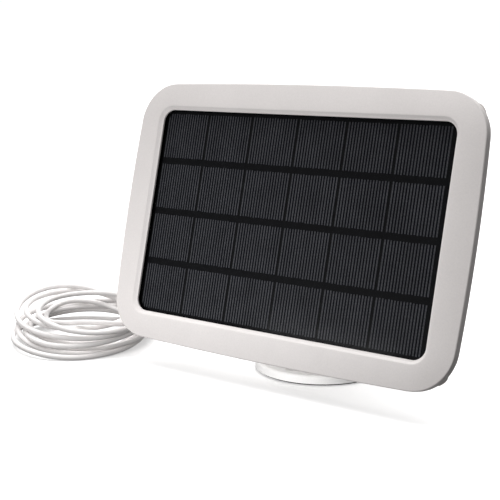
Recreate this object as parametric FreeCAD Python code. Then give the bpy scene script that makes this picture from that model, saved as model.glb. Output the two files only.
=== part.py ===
import FreeCAD, Part
import math
import os

# Solar charging panel on a tilting, panning foot, with a coiled lead.
# Millimetres. +Z up, origin on the underside of the round foot, on the pan axis.
# The panel faces -Y and leans back. Panel pieces are drawn in the panel's own
# frame (x to the right, y up the panel, z out of the glass) and placed once.

os.makedirs("parts", exist_ok=True)
V = FreeCAD.Vector

# ---------------------------------------------------------------- dimensions
LEAN = 14.3            # lean of the panel at rest, degrees from vertical
PIVOT_Z = 71.0         # height of the tilt axis
PIVOT_BACK = 35.75     # tilt axis behind the front of the glass

PAN_W = 200.0          # bezel width at mid height
PAN_H = 136.0          # bezel height at mid width
R_SIDE = 1000.0        # bow of the left and right edges
R_TOP = 3040.0         # bow of the top and bottom edges
R_CORNER = 21.0
WIN_W, WIN_H, WIN_R = 168.6, 106.2, 6.3
LIP_STEP = 2.4         # width of the recessed strip round the window
FACE_Z = 2.4           # front face of the bezel above the glass
STRIP_Z = 1.8          # recessed strip above the glass
BACK_OF_FACE = 0.3     # rear of the bezel's front wall
PART_Z = -2.8          # parting plane between bezel and rear cover
WALL = 2.2
REAR_Z = -16.5         # flat back of the rear cover

GLASS_W, GLASS_H, GLASS_T = 175.0, 112.6, 2.0
CELL_T = 0.2
COLS, ROWS = 6, 4
COL_PITCH, ROW_PITCH = 27.6, 26.6
CELL_W, CELL_H = 25.9, 23.4
CELL_FIELD_W, CELL_FIELD_H = 167.6, 105.4
FILM_T = 0.35
BACK_T = 1.0

FOOT_R = 33.45
FOOT_T = 5.0
PAD_T = 0.8
HUB_R, HUB_TOP = 19.0, 9.0
SCREW_PCD, SCREW_R = 50.0, 2.25
SPIGOT_R, SPIGOT_BORE = 5.95, 6.0
STOP_R, PIN_R = 14.0, 1.25

EAR_IN, EAR_OUT, EAR_R = 6.0, 11.0, 10.0
BOLT_R = 2.48
EYE_R, EYE_HALF = 9.0, 5.5
KNOB_R = 13.0

CORD_D = 3.0

# ---------------------------------------------------------------- helpers
PLACE = FreeCAD.Placement(
    V(0, -PIVOT_BACK * math.cos(math.radians(LEAN)), PIVOT_Z + PIVOT_BACK * math.sin(math.radians(LEAN))),
    FreeCAD.Rotation(V(1, 0, 0), 90.0 - LEAN))


def save(name, shape, panel=False):
    s = shape.copy()
    if panel:
        s.Placement = PLACE.multiply(s.Placement)
    if not s.isValid():
        s = s.removeSplitter()
    solids = s.Solids
    bb = s.BoundBox
    print("%-20s valid=%s solids=%d vol=%.1f  x %.1f..%.1f y %.1f..%.1f z %.1f..%.1f" % (
        name, s.isValid(), len(solids), s.Volume, bb.XMin, bb.XMax, bb.YMin, bb.YMax, bb.ZMin, bb.ZMax))
    out = solids[0] if len(solids) == 1 else Part.makeCompound(solids)
    out.exportStep("parts/%s.step" % name)


def cyl(r, z0, z1, x=0.0, y=0.0):
    return Part.makeCylinder(r, z1 - z0, V(x, y, z0), V(0, 0, 1))


def cylx(r, x0, x1, y=0.0, z=0.0):
    return Part.makeCylinder(r, x1 - x0, V(x0, y, z), V(1, 0, 0))


def box(x0, x1, y0, y1, z0, z1):
    return Part.makeBox(x1 - x0, y1 - y0, z1 - z0, V(x0, y0, z0))


def rrect(hw, hh, r, z):
    """Rounded rectangle wire: four lines and four arcs, from the right side anticlockwise."""
    k = r * math.sqrt(0.5)
    e = []
    cs = [(hw - r, hh - r), (-(hw - r), hh - r), (-(hw - r), -(hh - r)), (hw - r, -(hh - r))]
    pts = [((hw, -(hh - r)), (hw, hh - r)), ((hw - r, hh), (-(hw - r), hh)),
           ((-hw, hh - r), (-hw, -(hh - r))), ((-(hw - r), -hh), (hw - r, -hh))]
    for i in range(4):
        a, b = pts[i]
        e.append(Part.LineSegment(V(a[0], a[1], z), V(b[0], b[1], z)).toShape())
        c = cs[i]
        n = pts[(i + 1) % 4][0]
        sx = 1 if c[0] > 0 else -1
        sy = 1 if c[1] > 0 else -1
        e.append(Part.Arc(V(b[0], b[1], z), V(c[0] + sx * k, c[1] + sy * k, z), V(n[0], n[1], z)).toShape())
    return Part.Wire(e)


def bowed(inset, r, z, w=PAN_W, h=PAN_H):
    """Outline with bowed sides: the sides keep their centres, the corner arc is tangent to both."""
    A, B = w / 2 - inset, h / 2 - inset
    R1, R2 = R_SIDE - inset, R_TOP - inset
    c1 = (A - R1, 0.0)
    c2 = (0.0, B - R2)
    x, y = A - r, B - r
    for _ in range(40):
        f1 = math.hypot(x - c1[0], y - c1[1]) - (R1 - r)
        f2 = math.hypot(x - c2[0], y - c2[1]) - (R2 - r)
        x -= f1
        y -= f2
    u1 = ((x - c1[0]) / (R1 - r), (y - c1[1]) / (R1 - r))
    u2 = ((x - c2[0]) / (R2 - r), (y - c2[1]) / (R2 - r))
    t1 = (x + r * u1[0], y + r * u1[1])
    t2 = (x + r * u2[0], y + r * u2[1])
    m = (u1[0] + u2[0], u1[1] + u2[1])
    k = math.hypot(*m)
    tm = (x + r * m[0] / k, y + r * m[1] / k)
    e = []
    q = [(1, 1), (-1, 1), (-1, -1), (1, -1)]
    mids = [(A, 0), (0, B), (-A, 0), (0, -B)]
    for i in range(4):
        sx, sy = q[i]
        px, py = q[i - 1]
        if i % 2 == 0:
            a = (px * t1[0], py * t1[1])
            b = (sx * t1[0], sy * t1[1])
            n = (sx * t2[0], sy * t2[1])
        else:
            a = (px * t2[0], py * t2[1])
            b = (sx * t2[0], sy * t2[1])
            n = (sx * t1[0], sy * t1[1])
        e.append(Part.Arc(V(a[0], a[1], z), V(mids[i][0], mids[i][1], z), V(b[0], b[1], z)).toShape())
        e.append(Part.Arc(V(b[0], b[1], z), V(sx * tm[0], sy * tm[1], z), V(n[0], n[1], z)).toShape())
    return Part.Wire(e)


def prism(wire, z0, z1):
    f = Part.Face(wire)
    f.translate(V(0, 0, z0 - f.BoundBox.ZMin))
    return f.extrude(V(0, 0, z1 - z0))


def loft(*wires):
    out = None
    for a, b in zip(wires, wires[1:]):
        s = Part.makeLoft([a, b], True, True)
        out = s if out is None else out.fuse(s)
    return out


def ring(outer, inner, z0, z1):
    return prism(outer, z0, z1).cut(prism(inner, z0 - 1, z1 + 1))


def tube(points, d, name):
    """Straight runs joined by tangent arcs: each arc's radius is 0.45 of its shorter run
    over the tangent of half the turn."""
    P = [V(*p) for p in points]
    cuts = [None] * len(P)
    radii = []
    for i in range(1, len(P) - 1):
        a, b = P[i - 1] - P[i], P[i + 1] - P[i]
        la, lb = a.Length, b.Length
        turn = math.pi - a.getAngle(b)
        t = 0.45 * min(la, lb)
        rad = t / math.tan(turn / 2)
        ua, ub = a * (1 / la), b * (1 / lb)
        p0, p1 = P[i] + ua * t, P[i] + ub * t
        bis = ua + ub
        bis.normalize()
        mid = P[i] + bis * (math.hypot(rad, t) - rad)
        cuts[i] = (p0, mid, p1)
        radii.append(round(rad, 1))
    edges = []
    cur = P[0]
    for i in range(1, len(P) - 1):
        p0, mid, p1 = cuts[i]
        edges.append(Part.LineSegment(cur, p0).toShape())
        edges.append(Part.Arc(p0, mid, p1).toShape())
        cur = p1
    edges.append(Part.LineSegment(cur, P[-1]).toShape())
    wire = Part.Wire(edges)
    d0 = P[1] - P[0]
    circ = Part.Wire([Part.Circle(P[0], d0, d / 2).toShape()])
    sh = wire.makePipeShell([circ], True, False, 1)
    sol = sh if sh.ShapeType == "Solid" else Part.Solid(sh)
    want = math.pi * d * d / 4 * wire.Length
    runs = [round((P[i + 1] - P[i]).Length, 1) for i in range(len(P) - 1)]
    print("tube %s length %.1f runs %s radii %s volume %.1f against %.1f" % (
        name, wire.Length, runs, radii, sol.Volume, want))
    return sol


# ---------------------------------------------------------------- foot
foot = cyl(FOOT_R, PAD_T, FOOT_T)
foot = foot.makeFillet(1.4, [e for e in foot.Edges if len(e.Vertexes) == 1 and abs(e.BoundBox.ZMax - FOOT_T) < 1e-6 and abs(e.BoundBox.ZMin - FOOT_T) < 1e-6])
hub = Part.makeCone(HUB_R + 1.5, HUB_R, HUB_TOP - FOOT_T, V(0, 0, FOOT_T - 0.01), V(0, 0, 1))
foot = foot.fuse(cyl(HUB_R + 1.5, FOOT_T - 1, FOOT_T)).fuse(hub)
foot = foot.cut(cyl(SPIGOT_BORE, -1, 20)).cut(cyl(10.0, -1, 4.4))
STOP_HALF = 171.0
groove = cyl(STOP_R + 1.4, 7.0, HUB_TOP + 1).cut(cyl(STOP_R - 1.4, 6, HUB_TOP + 2))
web = Part.makeCylinder(30, 12, V(0, 0, 3), V(0, 0, 1), 2 * (180 - STOP_HALF))
web.rotate(V(0, 0, 0), V(0, 0, 1), 90 - (180 - STOP_HALF))
foot = foot.cut(groove.cut(web))
holes = []
for k in range(3):
    a = math.radians(-90 + 120 * k)
    x, y = SCREW_PCD / 2 * math.cos(a), SCREW_PCD / 2 * math.sin(a)
    holes.append((x, y))
    foot = foot.fuse(cyl(3.2, 0, PAD_T + 0.5, x, y))     # a hard stop through the pad round each screw
    foot = foot.cut(cyl(SCREW_R, -1, 20, x, y))
    foot = foot.cut(Part.makeCone(SCREW_R, SCREW_R + 2.0, 2.0, V(x, y, FOOT_T - 2.0), V(0, 0, 1)))
    foot = foot.cut(cyl(SCREW_R + 2.0, FOOT_T, 20, x, y))
save("base_plate", foot.removeSplitter())

pad = cyl(FOOT_R - 1.2, 0, PAD_T).cut(cyl(10.8, -1, 2))
for x, y in holes:
    pad = pad.cut(cyl(3.3, -1, 2, x, y))
save("base_pad", pad)

# ---------------------------------------------------------------- swivel post
post = cyl(17.5, HUB_TOP + 0.08, 12.5)
post = post.fuse(Part.makeCone(12.5, 8.8, 12, V(0, 0, 12.5), V(0, 0, 1)))
post = post.fuse(cyl(8.8, 20, 50))
post = post.fuse(cyl(SPIGOT_R, 4.4, 12))
yoke = box(-EAR_OUT, EAR_OUT, -8.0, 8.0, 46, PIVOT_Z)
yoke = yoke.fuse(cylx(EAR_R, -EAR_OUT, EAR_OUT, 0, PIVOT_Z))
yoke = yoke.fuse(Part.makeLoft([
    Part.makePolygon([V(-7.5, -7.0, 38), V(7.5, -7.0, 38), V(7.5, 7.0, 38), V(-7.5, 7.0, 38), V(-7.5, -7.0, 38)]),
    Part.makePolygon([V(-EAR_OUT, -8, 47), V(EAR_OUT, -8, 47), V(EAR_OUT, 8, 47), V(-EAR_OUT, 8, 47), V(-EAR_OUT, -8, 47)])], True, True))
post = post.fuse(yoke)
post = post.cut(box(-EAR_IN, EAR_IN, -30, 30, PIVOT_Z - 13, PIVOT_Z + 30))
post = post.cut(cylx(BOLT_R + 0.06, -40, 40, 0, PIVOT_Z))
post = post.cut(box(-EAR_OUT - 1, -EAR_IN + 0.01, -2.5, 2.5, PIVOT_Z - 2.5, PIVOT_Z + 2.5))
post = post.cut(cyl(1.5, 4.0, 16)).cut(cyl(PIN_R, 5, 12.0, 0, -STOP_R))
save("swivel_post", post.removeSplitter())
save("stop_pin", cyl(PIN_R, 7.4, 12.0, 0, -STOP_R))
save("pivot_washer", cyl(9.0, 3.4, 4.32).cut(cyl(1.7, 3, 5)))
ps = cyl(1.48, 3.4, 14.0).fuse(cyl(3.6, 1.2, 3.4)).cut(box(-2.4, 2.4, -0.45, 0.45, 1.0, 2.2)).cut(box(-0.45, 0.45, -2.4, 2.4, 1.0, 2.2))
save("pivot_screw", ps)
fw = []
for x0, x1 in ((-EAR_IN, -EAR_IN + 0.45), (EAR_IN - 0.45, EAR_IN)):
    fw.append(cylx(8.3, x0, x1, 0, PIVOT_Z).cut(cylx(BOLT_R + 0.08, x0 - 1, x1 + 1, 0, PIVOT_Z)))
save("friction_washers", Part.makeCompound(fw))
save("knob_washer", cylx(7.0, EAR_OUT, EAR_OUT + 1.0, 0, PIVOT_Z).cut(cylx(BOLT_R + 0.08, 0, 30, 0, PIVOT_Z)))

# ---------------------------------------------------------------- tilt bolt and knob
bolt = cylx(BOLT_R, -EAR_OUT, 22.0, 0, PIVOT_Z)
bolt = bolt.fuse(box(-EAR_OUT - 0.3, -EAR_OUT + 3.6, -2.43, 2.43, PIVOT_Z - 2.43, PIVOT_Z + 2.43))
head = Part.makeSphere(8.2, V(-EAR_OUT - 3.0 + 8.2, 0, PIVOT_Z)).common(cylx(5.6, -EAR_OUT - 4, -EAR_OUT, 0, PIVOT_Z))
bolt = bolt.fuse(head)
save("tilt_bolt", bolt)
K0 = EAR_OUT + 1.05
insert = cylx(4.0, K0 + 0.3, K0 + 9.0, 0, PIVOT_Z).cut(cylx(BOLT_R + 0.05, 0, 60, 0, PIVOT_Z))
save("knob_insert", insert)
knob = cylx(7.2, K0, K0 + 2.6, 0, PIVOT_Z).fuse(cylx(KNOB_R, K0 + 2.5, K0 + 13.0, 0, PIVOT_Z))
for k in range(8):
    a = 2 * math.pi * (k + 0.5) / 8
    knob = knob.cut(cylx(3.0, K0 - 1, K0 + 20, (KNOB_R + 1.3) * math.cos(a), PIVOT_Z + (KNOB_R + 1.3) * math.sin(a)))
knob = knob.cut(cylx(BOLT_R + 0.3, 0, K0 + 11.0, 0, PIVOT_Z)).cut(cylx(4.0, K0 + 0.3, K0 + 9.0, 0, PIVOT_Z)).cut(cylx(4.0, 0, K0 + 0.31, 0, PIVOT_Z))
save("tilt_knob", knob)

# ---------------------------------------------------------------- front bezel
outer = prism(bowed(0, R_CORNER, 0), PART_Z, FACE_Z)
edge = [e for e in outer.Edges if abs(e.BoundBox.ZMin - FACE_Z) < 1e-6 and abs(e.BoundBox.ZMax - FACE_Z) < 1e-6]
outer = outer.makeFillet(1.2, edge)
bez = outer.cut(prism(bowed(WALL, R_CORNER - WALL, 0), PART_Z - 1, BACK_OF_FACE))
bez = bez.cut(prism(rrect(WIN_W / 2, WIN_H / 2, WIN_R, 0), -20, 20))
bez = bez.cut(prism(rrect(WIN_W / 2 + LIP_STEP, WIN_H / 2 + LIP_STEP, WIN_R + LIP_STEP, 0), STRIP_Z, 20))
rib = ring(rrect(GLASS_W / 2 + 1.5, GLASS_H / 2 + 1.5, 6.2, 0), rrect(GLASS_W / 2 + 0.25, GLASS_H / 2 + 0.25, 5.2, 0), PART_Z + 0.1, BACK_OF_FACE)
bez = bez.fuse(rib)
SCREWS = [(89.8, 57.8), (-89.8, 57.8), (89.8, -57.8), (-89.8, -57.8), (38, 61.6), (-38, 61.6), (38, -61.6), (-38, -61.6)]
for x, y in SCREWS:
    bez = bez.fuse(cyl(2.8, PART_Z, BACK_OF_FACE, x, y))
bez = bez.cut(prism(rrect(GLASS_W / 2 + 0.25, GLASS_H / 2 + 0.25, 5.2, 0), PART_Z - 1, BACK_OF_FACE))
for x, y in SCREWS:
    bez = bez.cut(cyl(1.52, PART_Z - 1, -0.7, x, y))
save("front_bezel", bez.removeSplitter(), True)

# ---------------------------------------------------------------- laminate
save("panel_gasket", ring(rrect(GLASS_W / 2 - 0.3, GLASS_H / 2 - 0.3, 4.8, 0), rrect(WIN_W / 2 + 0.3, WIN_H / 2 + 0.3, WIN_R + 0.3, 0), 0, BACK_OF_FACE), True)
save("cover_glass", prism(rrect(GLASS_W / 2, GLASS_H / 2, 5.0, 0), -GLASS_T, 0), True)
cells = []
for i in range(COLS):
    for j in range(ROWS):
        x = (i - (COLS - 1) / 2) * COL_PITCH
        y = (j - (ROWS - 1) / 2) * ROW_PITCH
        cells.append(box(x - CELL_W / 2, x + CELL_W / 2, y - CELL_H / 2, y + CELL_H / 2, -GLASS_T - CELL_T, -GLASS_T))
save("solar_cells", Part.makeCompound(cells), True)
ribbons = []
for i in range(COLS):
    x = (i - (COLS - 1) / 2) * COL_PITCH
    ribbons.append(box(x - 1.0, x + 1.0, -50.5, 50.5, -GLASS_T - FILM_T, -GLASS_T - CELL_T))
save("cell_ribbons", Part.makeCompound(ribbons), True)
film = prism(rrect(GLASS_W / 2 - 0.4, GLASS_H / 2 - 0.4, 4.6, 0), -GLASS_T - FILM_T, -GLASS_T)
film = film.cut(Part.makeCompound(cells)).cut(Part.makeCompound(ribbons))
save("encapsulant", film, True)
LB = -GLASS_T - FILM_T - BACK_T
save("backing_sheet", prism(rrect(GLASS_W / 2, GLASS_H / 2, 5.0, 0), LB, -GLASS_T - FILM_T), True)

# ---------------------------------------------------------------- rear cover
shell_out = loft(bowed(0, 21.0, PART_Z), bowed(2.2, 19.4, -5.2), bowed(5.8, 18.4, -8.8), bowed(15.0, 17.5, -14.2), bowed(22.0, 15.0, REAR_Z))
shell_in = loft(bowed(2.5, 18.8, PART_Z), bowed(4.6, 17.8, -4.6), bowed(8.0, 17.2, -7.6), bowed(16.3, 16.5, -12.2), bowed(23.0, 14.5, REAR_Z + WALL))
rear = shell_out.cut(shell_in)
rear = rear.fuse(ring(rrect(86.0, 55.0, 5.0, 0), rrect(84.4, 53.4, 4.0, 0), -12.6, LB))
for x, y in SCREWS:
    rear = rear.fuse(cyl(4.9, -30, -3.6, x, y).common(shell_out)).fuse(cyl(2.8, -8, PART_Z, x, y))
for sx in (-1, 1):
    for sy in (-1, 1):
        rear = rear.fuse(cyl(3.6, REAR_Z + 1, -8.0, 16 * sx, 16 * sy))
BX, BY = -52.0, 25.0
for dx, dy in ((-17, -9), (17, -9), (-17, 9), (17, 9)):
    rear = rear.fuse(cyl(2.6, REAR_Z + 1, -12.5, BX + dx, BY + dy))
outlet = box(-57.0, -42.0, -7.5, 7.5, -25.5, REAR_Z + 1)
outlet = outlet.makeFillet(3.0, [e for e in outlet.Edges if abs(e.BoundBox.ZMin + 25.5) < 1e-6 and abs(e.BoundBox.ZMax + 25.5) < 1e-6])
rear = rear.fuse(outlet)
for x, y in SCREWS:
    rear = rear.cut(cyl(3.1, -30, -7.2, x, y)).cut(cyl(1.7, -30, 0, x, y))
for sx in (-1, 1):
    for sy in (-1, 1):
        rear = rear.cut(cyl(1.52, REAR_Z - 1, -8.6, 16 * sx, 16 * sy))
for dx, dy in ((-17, -9), (17, 9)):
    rear = rear.cut(cyl(1.22, -15.6, 0, BX + dx, BY + dy))
rear = rear.cut(cylx(3.6, -60.0, -45.0, 0, -21.0)).cut(cyl(2.6, -23.6, -12, -47.6, 0))
rear = rear.cut(ring(bowed(1.1, 19.9, 0), bowed(1.9, 19.1, 0), PART_Z - 0.5, PART_Z + 1))
save("rear_cover", rear.removeSplitter(), True)
save("perimeter_seal", ring(bowed(1.1, 19.9, 0), bowed(1.9, 19.1, 0), PART_Z - 0.5, PART_Z), True)


def screw(r, head_r, head_h, z_head, z_tip, x, y, slot=0.5, depth=0.9):
    """Pan-head screw driven towards +z: the head's underside is at z_head."""
    s = cyl(r, z_head, z_tip, x, y).fuse(cyl(head_r, z_head - head_h, z_head, x, y))
    zb = z_head - head_h
    s = s.cut(box(x - head_r * 0.6, x + head_r * 0.6, y - slot / 2, y + slot / 2, zb - 1, zb + depth))
    return s.cut(box(x - slot / 2, x + slot / 2, y - head_r * 0.6, y + head_r * 0.6, zb - 1, zb + depth))


save("cover_screws", Part.makeCompound([screw(1.5, 2.7, 1.7, -7.2, -1.2, x, y) for x, y in SCREWS]), True)

# ---------------------------------------------------------------- electronics
board = box(BX - 20, BX + 20, BY - 12, BY + 12, -12.5, -10.9)
for dx, dy in ((-17, -9), (17, 9)):
    board = board.cut(cyl(1.3, -14, -9, BX + dx, BY + dy))
save("regulator_board", board, True)
Z0 = -10.9
comps = [cyl(3.1, Z0, Z0 + 5.2, BX + 10, BY - 6), cyl(2.5, Z0, Z0 + 5.0, BX + 3.5, BY - 7),
         box(BX - 9, BX - 1, BY - 4, BY + 4, Z0, Z0 + 3.8), box(BX + 3, BX + 8, BY + 1, BY + 5, Z0, Z0 + 1.2),
         box(BX - 2, BX + 6, BY + 7, BY + 11.5, Z0, Z0 + 4.2), box(BX - 5, BX + 2.5, BY - 11.5, BY - 7.5, Z0, Z0 + 3.5),
         box(BX - 16, BX - 13, BY + 2, BY + 4, Z0, Z0 + 0.8), box(BX + 11, BX + 13, BY, BY + 1.2, Z0, Z0 + 0.6)]
save("board_components", Part.makeCompound(comps), True)


def board_screw(x, y):
    return cyl(1.2, -15.2, Z0, x, y).fuse(cyl(2.2, Z0, Z0 + 1.3, x, y)).cut(box(x - 1.4, x + 1.4, y - 0.25, y + 0.25, Z0 + 0.7, Z0 + 2))


save("board_screws", Part.makeCompound([board_screw(BX - 17, BY - 9), board_screw(BX + 17, BY + 9)]), True)
leads = []
for y in (BY + 8.4, BY + 10.3):
    leads.append(tube([(BX + 6, y, Z0 + 2.2), (BX + 13, y, Z0 + 2.2), (BX + 18.5, y, Z0 + 4.0), (BX + 18.5, y, LB)], 1.3, "panel_lead"))
save("panel_leads", Part.makeCompound(leads), True)
core = tube([(-47.6, 0, -20.0), (-47.6, 0.0, -13.6), (-49.6, 2.8, -9.2), (-51.4, 8.2, -9.2), (-51.4, BY - 11.5, -9.2)], 2.2, "lead_inner_end")
save("lead_inner_end", core, True)

# ---------------------------------------------------------------- gland
gl = cylx(3.55, -57.0, -50.4, 0, -21.0).fuse(cylx(4.4, -58.6, -57.0, 0, -21.0))
gl = gl.fuse(Part.makeCone(3.9, 2.2, 14.4, V(-58.6, 0, -21.0), V(-1, 0, 0)))
for k in range(4):
    x = -61.2 - 2.8 * k
    gl = gl.cut(cylx(6.0, x - 0.9, x, 0, -21.0).cut(cylx(1.9, x - 2, x + 1, 0, -21.0)))
save("cable_gland", gl, True)

# ---------------------------------------------------------------- tilt bracket
br = prism(rrect(22.5, 22.5, 6.0, 0), -20.0, REAR_Z)
arm = box(-EYE_HALF, EYE_HALF, -8.0, 8.0, -PIVOT_BACK, -19.5).fuse(cylx(EYE_R, -EYE_HALF, EYE_HALF, 0, -PIVOT_BACK))
arm = arm.fuse(box(-EYE_HALF, EYE_HALF, -12.0, 12.0, -22.5, -19.5))
br = br.fuse(arm).cut(cylx(BOLT_R + 0.07, -30, 30, 0, -PIVOT_BACK))
for sx in (-1, 1):
    for sy in (-1, 1):
        br = br.cut(cyl(1.7, -30, 0, 16 * sx, 16 * sy)).cut(cyl(3.1, -30, -18.2, 16 * sx, 16 * sy))
save("tilt_bracket", br.removeSplitter(), True)
save("bracket_screws", Part.makeCompound([screw(1.5, 2.8, 1.6, -18.2, -9.4, 16 * a, 16 * b) for a in (-1, 1) for b in (-1, 1)]), True)

# ---------------------------------------------------------------- lead
# the gland's tip in the row frame: the lead leaves it towards -X
TIP = PLACE.multVec(V(-73.0, 0, -21.0))
print("gland tip", [round(c, 3) for c in TIP])
ROUTE_LEAD = [
    (-73.0, -14.293, 74.643), (-83.5, -14.293, 74.643), (-92.5, -12.2, 68.0), (-97.5, -8.5, 55.0), (-98.5, -4.0, 41.0),
    (-97.0, 0.5, 28.5), (-95.8, 5.5, 17.0), (-98.0, 11.0, 7.6), (-105.0, 15.8, 2.2), (-116.0, 19.2, 1.5), (-127.5, 19.4, 1.5),
    (-138.0, 14.6, 1.5), (-145.0, 10.0, 1.5)]
save("cable_lead", tube(ROUTE_LEAD, CORD_D, "cable_lead"))

# the coil: one ring round all its turns, wider at the back left, its top slopes up to the back
COIL_X, COIL_Y = -142.0, -29.0
RIM_OUT = [(0, 47.8), (20, 43.6), (40, 41.6), (60, 45.4), (80, 49.6), (100, 51.2), (120, 53.6), (140, 53.8), (160, 52.2),
           (180, 51.2), (200, 47.4), (220, 42.6), (240, 44.9), (260, 48.6), (280, 51.6), (300, 52.2), (320, 51.6), (340, 50.2)]
RIM_IN = [(0, 24.6), (30, 24.0), (60, 24.2), (90, 26.2), (120, 27.2), (150, 25.2), (180, 23.0), (210, 20.4), (240, 19.6),
          (270, 20.4), (300, 24.6), (330, 26.2)]
COIL_MID, COIL_RISE, COIL_UP = 19.6, 2.8, 150.0   # top height at the centre, its slope in degrees and the way it rises


def rim(points):
    c = Part.BSplineCurve()
    c.interpolate([V(r * math.cos(math.radians(a)), r * math.sin(math.radians(a)), 0) for a, r in points], PeriodicFlag=True)
    return Part.Wire([c.toShape()])


coil = prism(rim(RIM_OUT), 0, 40).cut(prism(rim(RIM_IN), -1, 41))
top = box(-90, 90, -90, 90, 0, 80)
top.rotate(V(0, 0, 0), V(-math.sin(math.radians(COIL_UP)), math.cos(math.radians(COIL_UP)), 0), -COIL_RISE)
top.translate(V(0, 0, COIL_MID))
coil = coil.cut(top)
coil.translate(V(COIL_X, COIL_Y, 0))
save("cable_coil", coil)

# the tail leaves the top of the coil over its back edge and passes above the lead
ROUTE_TAIL = [(-128.6, 10.0, 16.4), (-131.5, 19.5, 14.2), (-130.2, 29.5, 8.4), (-124.5, 38.5, 3.2), (-114.5, 45.0, 1.5), (-102.0, 48.0, 1.55),
              (-89.5, 48.4, 2.0), (-77.5, 46.7, 3.3), (-66.0, 44.0, 4.0)]
save("cable_tail", tube(ROUTE_TAIL, CORD_D, "cable_tail"))

# the plug lies on its flat side, pointing along PLUG_DIR
PLUG_DIR = math.degrees(math.atan2(44.0 - 46.7, -66.0 + 77.5))


def lay(shape, z=4.0):
    shape = shape.copy()
    shape.rotate(V(0, 0, 0), V(0, 0, 1), PLUG_DIR)
    shape.translate(V(-66.0, 44.0, z))
    return shape


relief = Part.makeCone(2.1, 3.1, 11.0, V(0, 0, 0), V(1, 0, 0))
save("plug_relief", lay(relief))
grip = box(11.0, 31.0, -5.6, 5.6, -4.0, 4.0)
grip = grip.makeFillet(2.0, [e for e in grip.Edges if abs(e.BoundBox.YMin - e.BoundBox.YMax) < 1e-6 and abs(e.BoundBox.ZMin - e.BoundBox.ZMax) < 1e-6])
save("plug_grip", lay(grip))
boot = box(31.0, 36.0, -6.4, 6.4, -3.9, 3.9)
boot = boot.makeFillet(2.4, [e for e in boot.Edges if abs(e.BoundBox.YMin - e.BoundBox.YMax) < 1e-6 and abs(e.BoundBox.ZMin - e.BoundBox.ZMax) < 1e-6])
boot = boot.cut(box(30.0, 37.0, -3.45, 3.45, -0.95, 0.95))
save("plug_boot", lay(boot))
sh = box(31.0, 41.5, -3.42, 3.42, -0.92, 0.92).cut(box(31.6, 42.0, -3.12, 3.12, -0.62, 0.62))
save("plug_shell", lay(sh))
save("plug_tongue", lay(box(31.6, 40.6, -2.6, 2.6, -0.5, 0.15)))
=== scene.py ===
import bpy, bmesh, math, random
from mathutils import Vector, Matrix


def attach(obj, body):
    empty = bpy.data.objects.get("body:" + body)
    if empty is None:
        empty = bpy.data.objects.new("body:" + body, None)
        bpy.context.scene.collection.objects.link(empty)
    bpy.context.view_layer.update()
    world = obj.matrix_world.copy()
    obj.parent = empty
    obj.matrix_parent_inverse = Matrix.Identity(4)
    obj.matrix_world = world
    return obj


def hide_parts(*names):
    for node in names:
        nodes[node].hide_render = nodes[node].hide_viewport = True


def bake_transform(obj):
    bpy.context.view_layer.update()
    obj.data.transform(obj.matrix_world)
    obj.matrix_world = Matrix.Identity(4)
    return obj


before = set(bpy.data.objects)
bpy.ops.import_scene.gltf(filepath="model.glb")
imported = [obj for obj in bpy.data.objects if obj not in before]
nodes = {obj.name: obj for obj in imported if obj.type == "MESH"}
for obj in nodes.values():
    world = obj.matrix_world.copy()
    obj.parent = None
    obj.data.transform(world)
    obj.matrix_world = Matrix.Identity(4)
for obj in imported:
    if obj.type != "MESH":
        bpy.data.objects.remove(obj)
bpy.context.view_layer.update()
scene = bpy.context.scene
MM = 0.001

# ------------------------------------------------------------------ numbers shared with the CAD model (mm)
LEAN = 14.3
PIVOT_Z, PIVOT_BACK = 71.0, 35.75
PAN_W, PAN_H, R_SIDE, R_TOP, R_CORNER = 200.0, 136.0, 1000.0, 3040.0, 21.0
WIN_W, WIN_H, WIN_R = 168.6, 106.2, 6.3
LIP_STEP, FACE_Z, BACK_OF_FACE, PART_Z, WALL = 2.4, 2.4, 0.3, -2.8, 2.2
GLASS_W, GLASS_H, GLASS_T = 175.0, 112.6, 2.0
COLS, ROWS, COL_PITCH, ROW_PITCH, CELL_W, CELL_H = 6, 4, 27.6, 26.6, 25.9, 23.4
CORD_D = 3.0

_c, _s = math.cos(math.radians(LEAN)), math.sin(math.radians(LEAN))


def on_panel(x, y, z):
    """Panel frame in mm (x right, y up the panel, z out of the glass) to the row frame in metres."""
    return Vector((x * MM, (-PIVOT_BACK * _c + y * _s - z * _c) * MM, (PIVOT_Z + PIVOT_BACK * _s + y * _c + z * _s) * MM))


# ------------------------------------------------------------------ camera
cam_data = bpy.data.cameras.new("camera")
cam = bpy.data.objects.new("camera", cam_data)
scene.collection.objects.link(cam)
cam_data.sensor_width = 36.0
cam_data.lens = 1074.5 / 500.0 * 36.0
cam_data.shift_x = 0.00026
cam_data.shift_y = 0.01634
cam_data.clip_start = 0.02
cam_data.clip_end = 50.0
cam_data.dof.use_dof = False
cam.location = (0.291299, -0.456715, 0.161665)
cam.rotation_euler = (math.radians(90.0 - 10.894), 0.0, math.radians(36.377))
scene.camera = cam

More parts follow.
